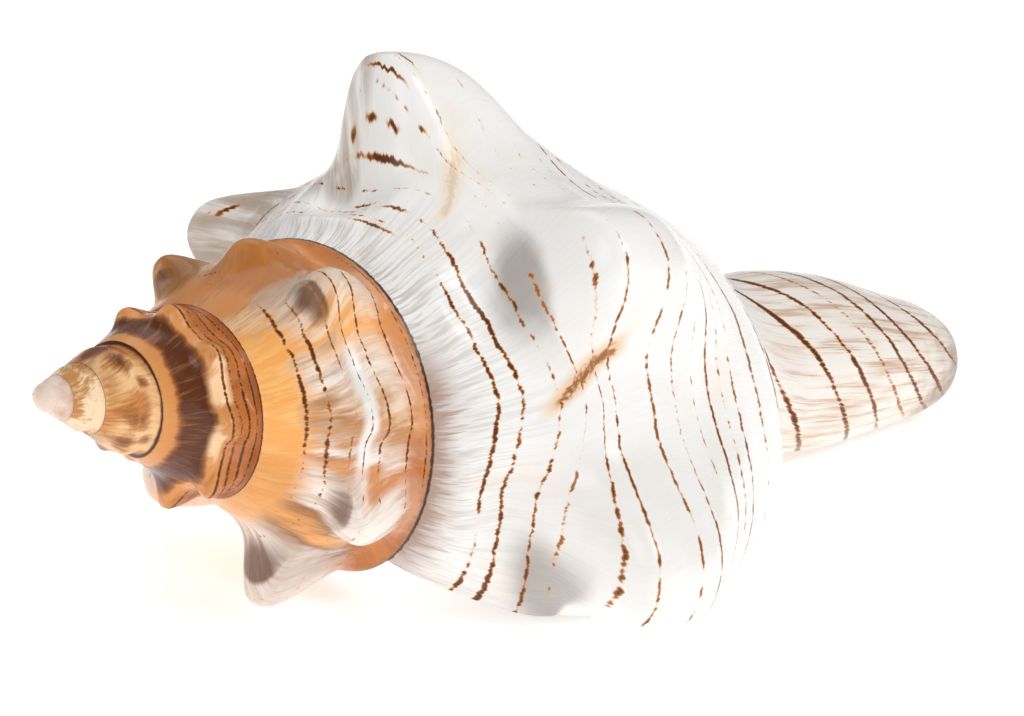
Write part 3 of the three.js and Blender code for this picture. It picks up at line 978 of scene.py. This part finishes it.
        # A painted highlight: a white streak on the side of a knob
        painted_highlight = self.between(self.turn, -0.765, -0.67, 0.04)
        painted_highlight = self.times(painted_highlight, self.between(self.q, 2.45, 2.7, 0.3))
        colour = self.mix(self.times(painted_highlight, 0.9), colour, WHITE)
        away = self.sub(0.95, self.times(self.between(self.turn, -0.86, -0.67, 0.03), 0.5))
        return self.over_lines(colour, SPIRE_LINES, 0, 5.2, away, 0.058, 0.4)

    def last_whorl(self):
        colour = self.mix(self.smooth(self.blotch, 0.4, 0.7), WHITE, SOFT_WHITE)
        hairs = self.frayed(self.hair, self.streak, 0.3, 0.42, 0.62)
        near = self.smooth(self.q, 2.3, 0.1)
        colour = self.mix(self.times(self.times(hairs, near), 0.65), colour, LILAC_GREY)
        # Painted shade: grey in the hollows beside the knobs
        hollow_shade = self.add(self.attribute("hollow_shade"), self.spread(self.streak, 0.25))
        colour = self.mix(self.times(self.smooth(hollow_shade, 0.15, 0.9), 0.75), colour, PAINTED_SHADE_GREY)
        warm = self.times(self.smooth(self.broad, 0.55, 0.7), 0.25)
        colour = self.mix(warm, colour, PALE_APRICOT)
        # Painted shade, broken into streaks, on the side of the tallest knob that faces the apex
        flank_shade = self.between(self.turn, -0.2, 0.022, 0.012)
        flank_shade = self.times(flank_shade, self.between(self.q, 1.9, 2.8, 0.5))
        flank_shade = self.times(flank_shade, self.smooth(self.streak, 0.3, 0.6))
        colour = self.mix(self.times(flank_shade, 0.75), colour, FLANK_SHADE_TAN)
        stain = self.frayed(self.q, self.hair, 2.4, 0.8, 0.1)
        stain = self.times(stain, self.between(self.turn, 0.27, 0.42, 0.08))
        colour = self.mix(self.times(stain, 0.75), colour, SUTURE_STAIN)
        colour = self.canal_tint(colour)
        for pause in PAUSES:
            colour = self.growth_pause(colour, *pause)
        faint = self.times(self.smooth(self.turn, 0.2, 0.15), 0.35)
        under = self.between(self.q, 2.4, 2.85, 0.1)
        under = self.times(under, self.smooth(self.turn, 0.365, 0.38))
        limit = self.add(self.add(0.5, faint), under)
        colour = self.over_lines(colour, BODY_LINES, 0, 5, limit, 0.038)
        colour = self.over_lines(colour, BASE_LINES, 4.9, 9, 0.5, 0.05)
        colour = self.over_lines(colour, CANAL_LINES, 8.6, 18, 0.4, 0.11, 0.7)
        for dash in KNOB_DASHES:
            colour = self.knob_dash(colour, *dash)
        return colour

    def canal_tint(self, colour):
        """Cream with tan streaks along the growth lines, and a worn grey-brown tip."""
        on_canal = self.smooth(self.q, 8.6, 9.8)
        colour = self.mix(self.times(on_canal, 0.4), colour, CANAL_CREAM)
        shade = self.frayed(self.streak, self.broad, 1.0, 0.4, 0.9)
        colour = self.mix(self.times(self.times(on_canal, shade), 0.5), colour, CANAL_TAN)
        fine = self.frayed(self.hair, self.streak, 1.2, 0.5, 0.72)
        colour = self.mix(self.times(self.times(on_canal, fine), 0.6), colour, CANAL_STREAK)
        tip = self.frayed(self.q, self.blotch, 3.0, 12.4, 13.5)
        return self.mix(self.times(tip, 0.9), colour, TIP_BROWN)

    def growth_pause(self, colour, growth, rows, stain, core_share):
        """A stain along one growth line, where the shell stopped growing for a while."""
        at = self.add(growth, self.times(self.smooth(self.q, 2.1, 1.5), 0.008))
        off = self.add(self.sub(self.grown, at), self.spread(self.meander, 0.008))
        off = self.math("ABSOLUTE", off)
        soft = self.times(self.smooth(off, 0.011, 0.001), self.between(self.q, *rows, 0.3))
        colour = self.mix(self.times(soft, 0.7), colour, stain)
        ragged = self.add(off, self.math("ABSOLUTE", self.spread(self.dash, 0.03)))
        core = self.times(self.smooth(ragged, 0.006, 0.002), self.between(self.q, *rows, 0.1))
        return self.mix(self.times(core, core_share), colour, PAUSE_BROWN)

    def knob_dash(self, colour, turn, row, length, width):
        """A short dash with a brown core, a tan rim and a halo."""
        wavy = self.add(self.q, self.spread(self.hair, 0.12))
        off = self.off_middle(wavy, turn, row, length, width)
        off = self.add(off, self.spread(self.dash, 1.6))
        colour = self.mix(self.times(self.smooth(off, 1.6, 0.5), 0.7), colour, LINE_HALO)
        colour = self.mix(self.smooth(off, 1.1, 0.7), colour, LINE_TAN)
        return self.mix(self.smooth(off, 0.85, 0.35), colour, LINE_BROWN)

    def by_age(self, *zones):
        """The colour of each zone, from the oldest on, faded into the next over AGES."""
        colour = zones[0]
        on_base = self.times(self.smooth(self.q, 4.95, 5.3), 0.6)
        where = self.add(self.add(self.turn, self.spread(self.blotch, 0.25)), on_base)
        for younger, age in zip(zones[1:], AGES):
            colour = self.mix(self.smooth(where, *age), colour, younger)
        return colour

    def seam(self, colour):
        """A thin dark brown suture, a little crimped."""
        crimp = self.spread(self.noise(self.vector(self.times(self.turn, 130.0), 0.0), 1, 2), 0.26)
        below = self.smooth(self.add(self.q, crimp), 4.84, 4.93)
        below = self.times(below, self.smooth(self.turn, -0.5, -0.56))
        below = self.times(below, self.smooth(self.q, 5.3, 5.1))
        above = self.smooth(self.add(self.q, self.times(crimp, 0.5)), 0.06, 0.02)
        both = self.times(self.math("MAXIMUM", below, above), self.smooth(self.turn, -5.15, -5.0))
        return self.mix(self.times(both, 0.95), colour, SEAM_BROWN)

    def inner_face(self):
        return self.mix(self.smooth(self.streak, 0.35, 0.7), INNER_CREAM, INNER_APRICOT)

    def surface(self):
        colour = self.by_age(
            self.worn_tip(),
            self.cream_whorl(),
            self.mottled_whorl(),
            self.banded_whorl(),
            self.penultimate_whorl(),
            self.last_whorl(),
        )
        colour = self.mix(self.attribute("inside"), self.seam(colour), self.inner_face())
        self.tree.links.new(colour, self.shader.inputs["Base Color"])
        gloss = self.add(ROUGHNESS, self.spread(self.hair, ROUGHNESS_SPREAD))
        self.tree.links.new(gloss, self.shader.inputs["Roughness"])
        relief = self.add(self.times(self.hair, 0.35), self.times(self.streak, 0.7))
        bump = self.node("ShaderNodeBump", {**RELIEF, "Height": relief})
        self.tree.links.new(bump, self.shader.inputs["Normal"])
        for name, value in SHELL_GLOSS.items():
            self.shader.inputs[name].default_value = value
        return self.material


def grown_shell():
    """The shell in its own frame, in mm, with its aperture and canal cut and its markings stored."""
    sheet, columns, start, last = outer_body()
    close_body(sheet, columns, start, last)
    body = bpy.data.objects.new("shell", sheet.mesh("shell"))
    bpy.context.scene.collection.objects.link(body)
    cut(body, chamber())
    cut(body, canal_groove())
    markings(body.data)
    return body


def lay_down(mesh):
    """Turns the shell as it rests, puts it where the CAD node is, in metres, and gives its apex in mm."""
    mesh.transform(Matrix.Rotation(REST_PITCH, 4, "Y") @ Matrix.Rotation(REST_ROLL, 4, "X"))
    co = np.empty(len(mesh.vertices) * 3, np.float32)
    mesh.vertices.foreach_get("co", co)
    co = co.reshape(-1, 3)
    low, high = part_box("conch_shell")
    middle = (low + high) / 2 / MM
    own_low = Vector(co.min(0).tolist())
    own_high = Vector(co.max(0).tolist())
    own_middle = (own_low + own_high) / 2
    apex = Vector((middle.x - own_middle.x, middle.y - own_middle.y, low.z / MM - own_low.z))
    mesh.transform(Matrix.Scale(MM, 4) @ Matrix.Translation(apex))
    return apex


def finish_surface(mesh):
    mesh.polygons.foreach_set("use_smooth", [True] * len(mesh.polygons))
    mesh.set_sharp_from_angle(angle=SHARP_ANGLE)
    mesh.update()
    mesh.materials.clear()
    mesh.materials.append(ShellGraph().surface())


def pale_floor():
    mesh = bpy.data.meshes.new("floor")
    side = FLOOR_HALF_SIDE
    corners = [(-side, -side, 0), (side, -side, 0), (side, side, 0), (-side, side, 0)]
    mesh.from_pydata(corners, [], [(0, 1, 2, 3)])
    material = bpy.data.materials.new("floor")
    material.use_nodes = True
    shader = material.node_tree.nodes["Principled BSDF"]
    for name, value in FLOOR_LOOK.items():
        shader.inputs[name].default_value = value
    mesh.materials.append(material)
    floor = bpy.data.objects.new("floor", mesh)
    bpy.context.scene.collection.objects.link(floor)
    return floor


def area_light(name, azimuth, elevation, distance, size, power):
    """A softbox that faces the shell. Azimuth 0 stands where the photographer does."""
    data = bpy.data.lights.new(name, "AREA")
    data.shape = "RECTANGLE"
    data.size, data.size_y = size
    data.energy = power
    light = bpy.data.objects.new(name, data)
    bpy.context.scene.collection.objects.link(light)
    bearing = CAMERA_AZIMUTH + math.radians(azimuth)
    up = math.radians(elevation)
    flat = math.cos(up)
    stand = Vector((-math.sin(bearing) * flat, -math.cos(bearing) * flat, math.sin(up)))
    light.location = stand * distance + LIGHT_AIM
    light.rotation_euler = stand.to_track_quat("Z", "Y").to_euler()


def white_studio():
    """An even white surround, shown with plain screen colours."""
    world = bpy.data.worlds.new("studio")
    world.use_nodes = True
    background = world.node_tree.nodes["Background"].inputs
    background["Color"].default_value = (1, 1, 1, 1)
    background["Strength"].default_value = WORLD_STRENGTH
    bpy.context.scene.world = world
    bpy.context.scene.view_settings.view_transform = "Standard"


def camera(apex):
    data = bpy.data.cameras.new("camera")
    data.sensor_width = CAMERA_SENSOR
    data.lens = CAMERA_LENS
    data.clip_end = CAMERA_CLIP_END
    eye = bpy.data.objects.new("camera", data)
    bpy.context.scene.collection.objects.link(eye)
    target = (apex + CAMERA_TARGET) * MM
    turn = Matrix.Rotation(-CAMERA_AZIMUTH, 4, "Z")
    turn = turn @ Matrix.Rotation(math.pi / 2 - CAMERA_ELEVATION, 4, "X")
    turn = turn @ Matrix.Rotation(CAMERA_ROLL, 4, "Z")
    eye.matrix_world = Matrix.Translation(target) @ turn @ Matrix.Translation((0, 0, CAMERA_DISTANCE))
    bpy.context.scene.camera = eye


body = grown_shell()
apex = lay_down(body.data)
finish_surface(body.data)
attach(body, "root")
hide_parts("conch_shell")

floor = pale_floor()
for name, settings in LIGHTS.items():
    area_light(name, *settings)
white_studio()
camera(apex)
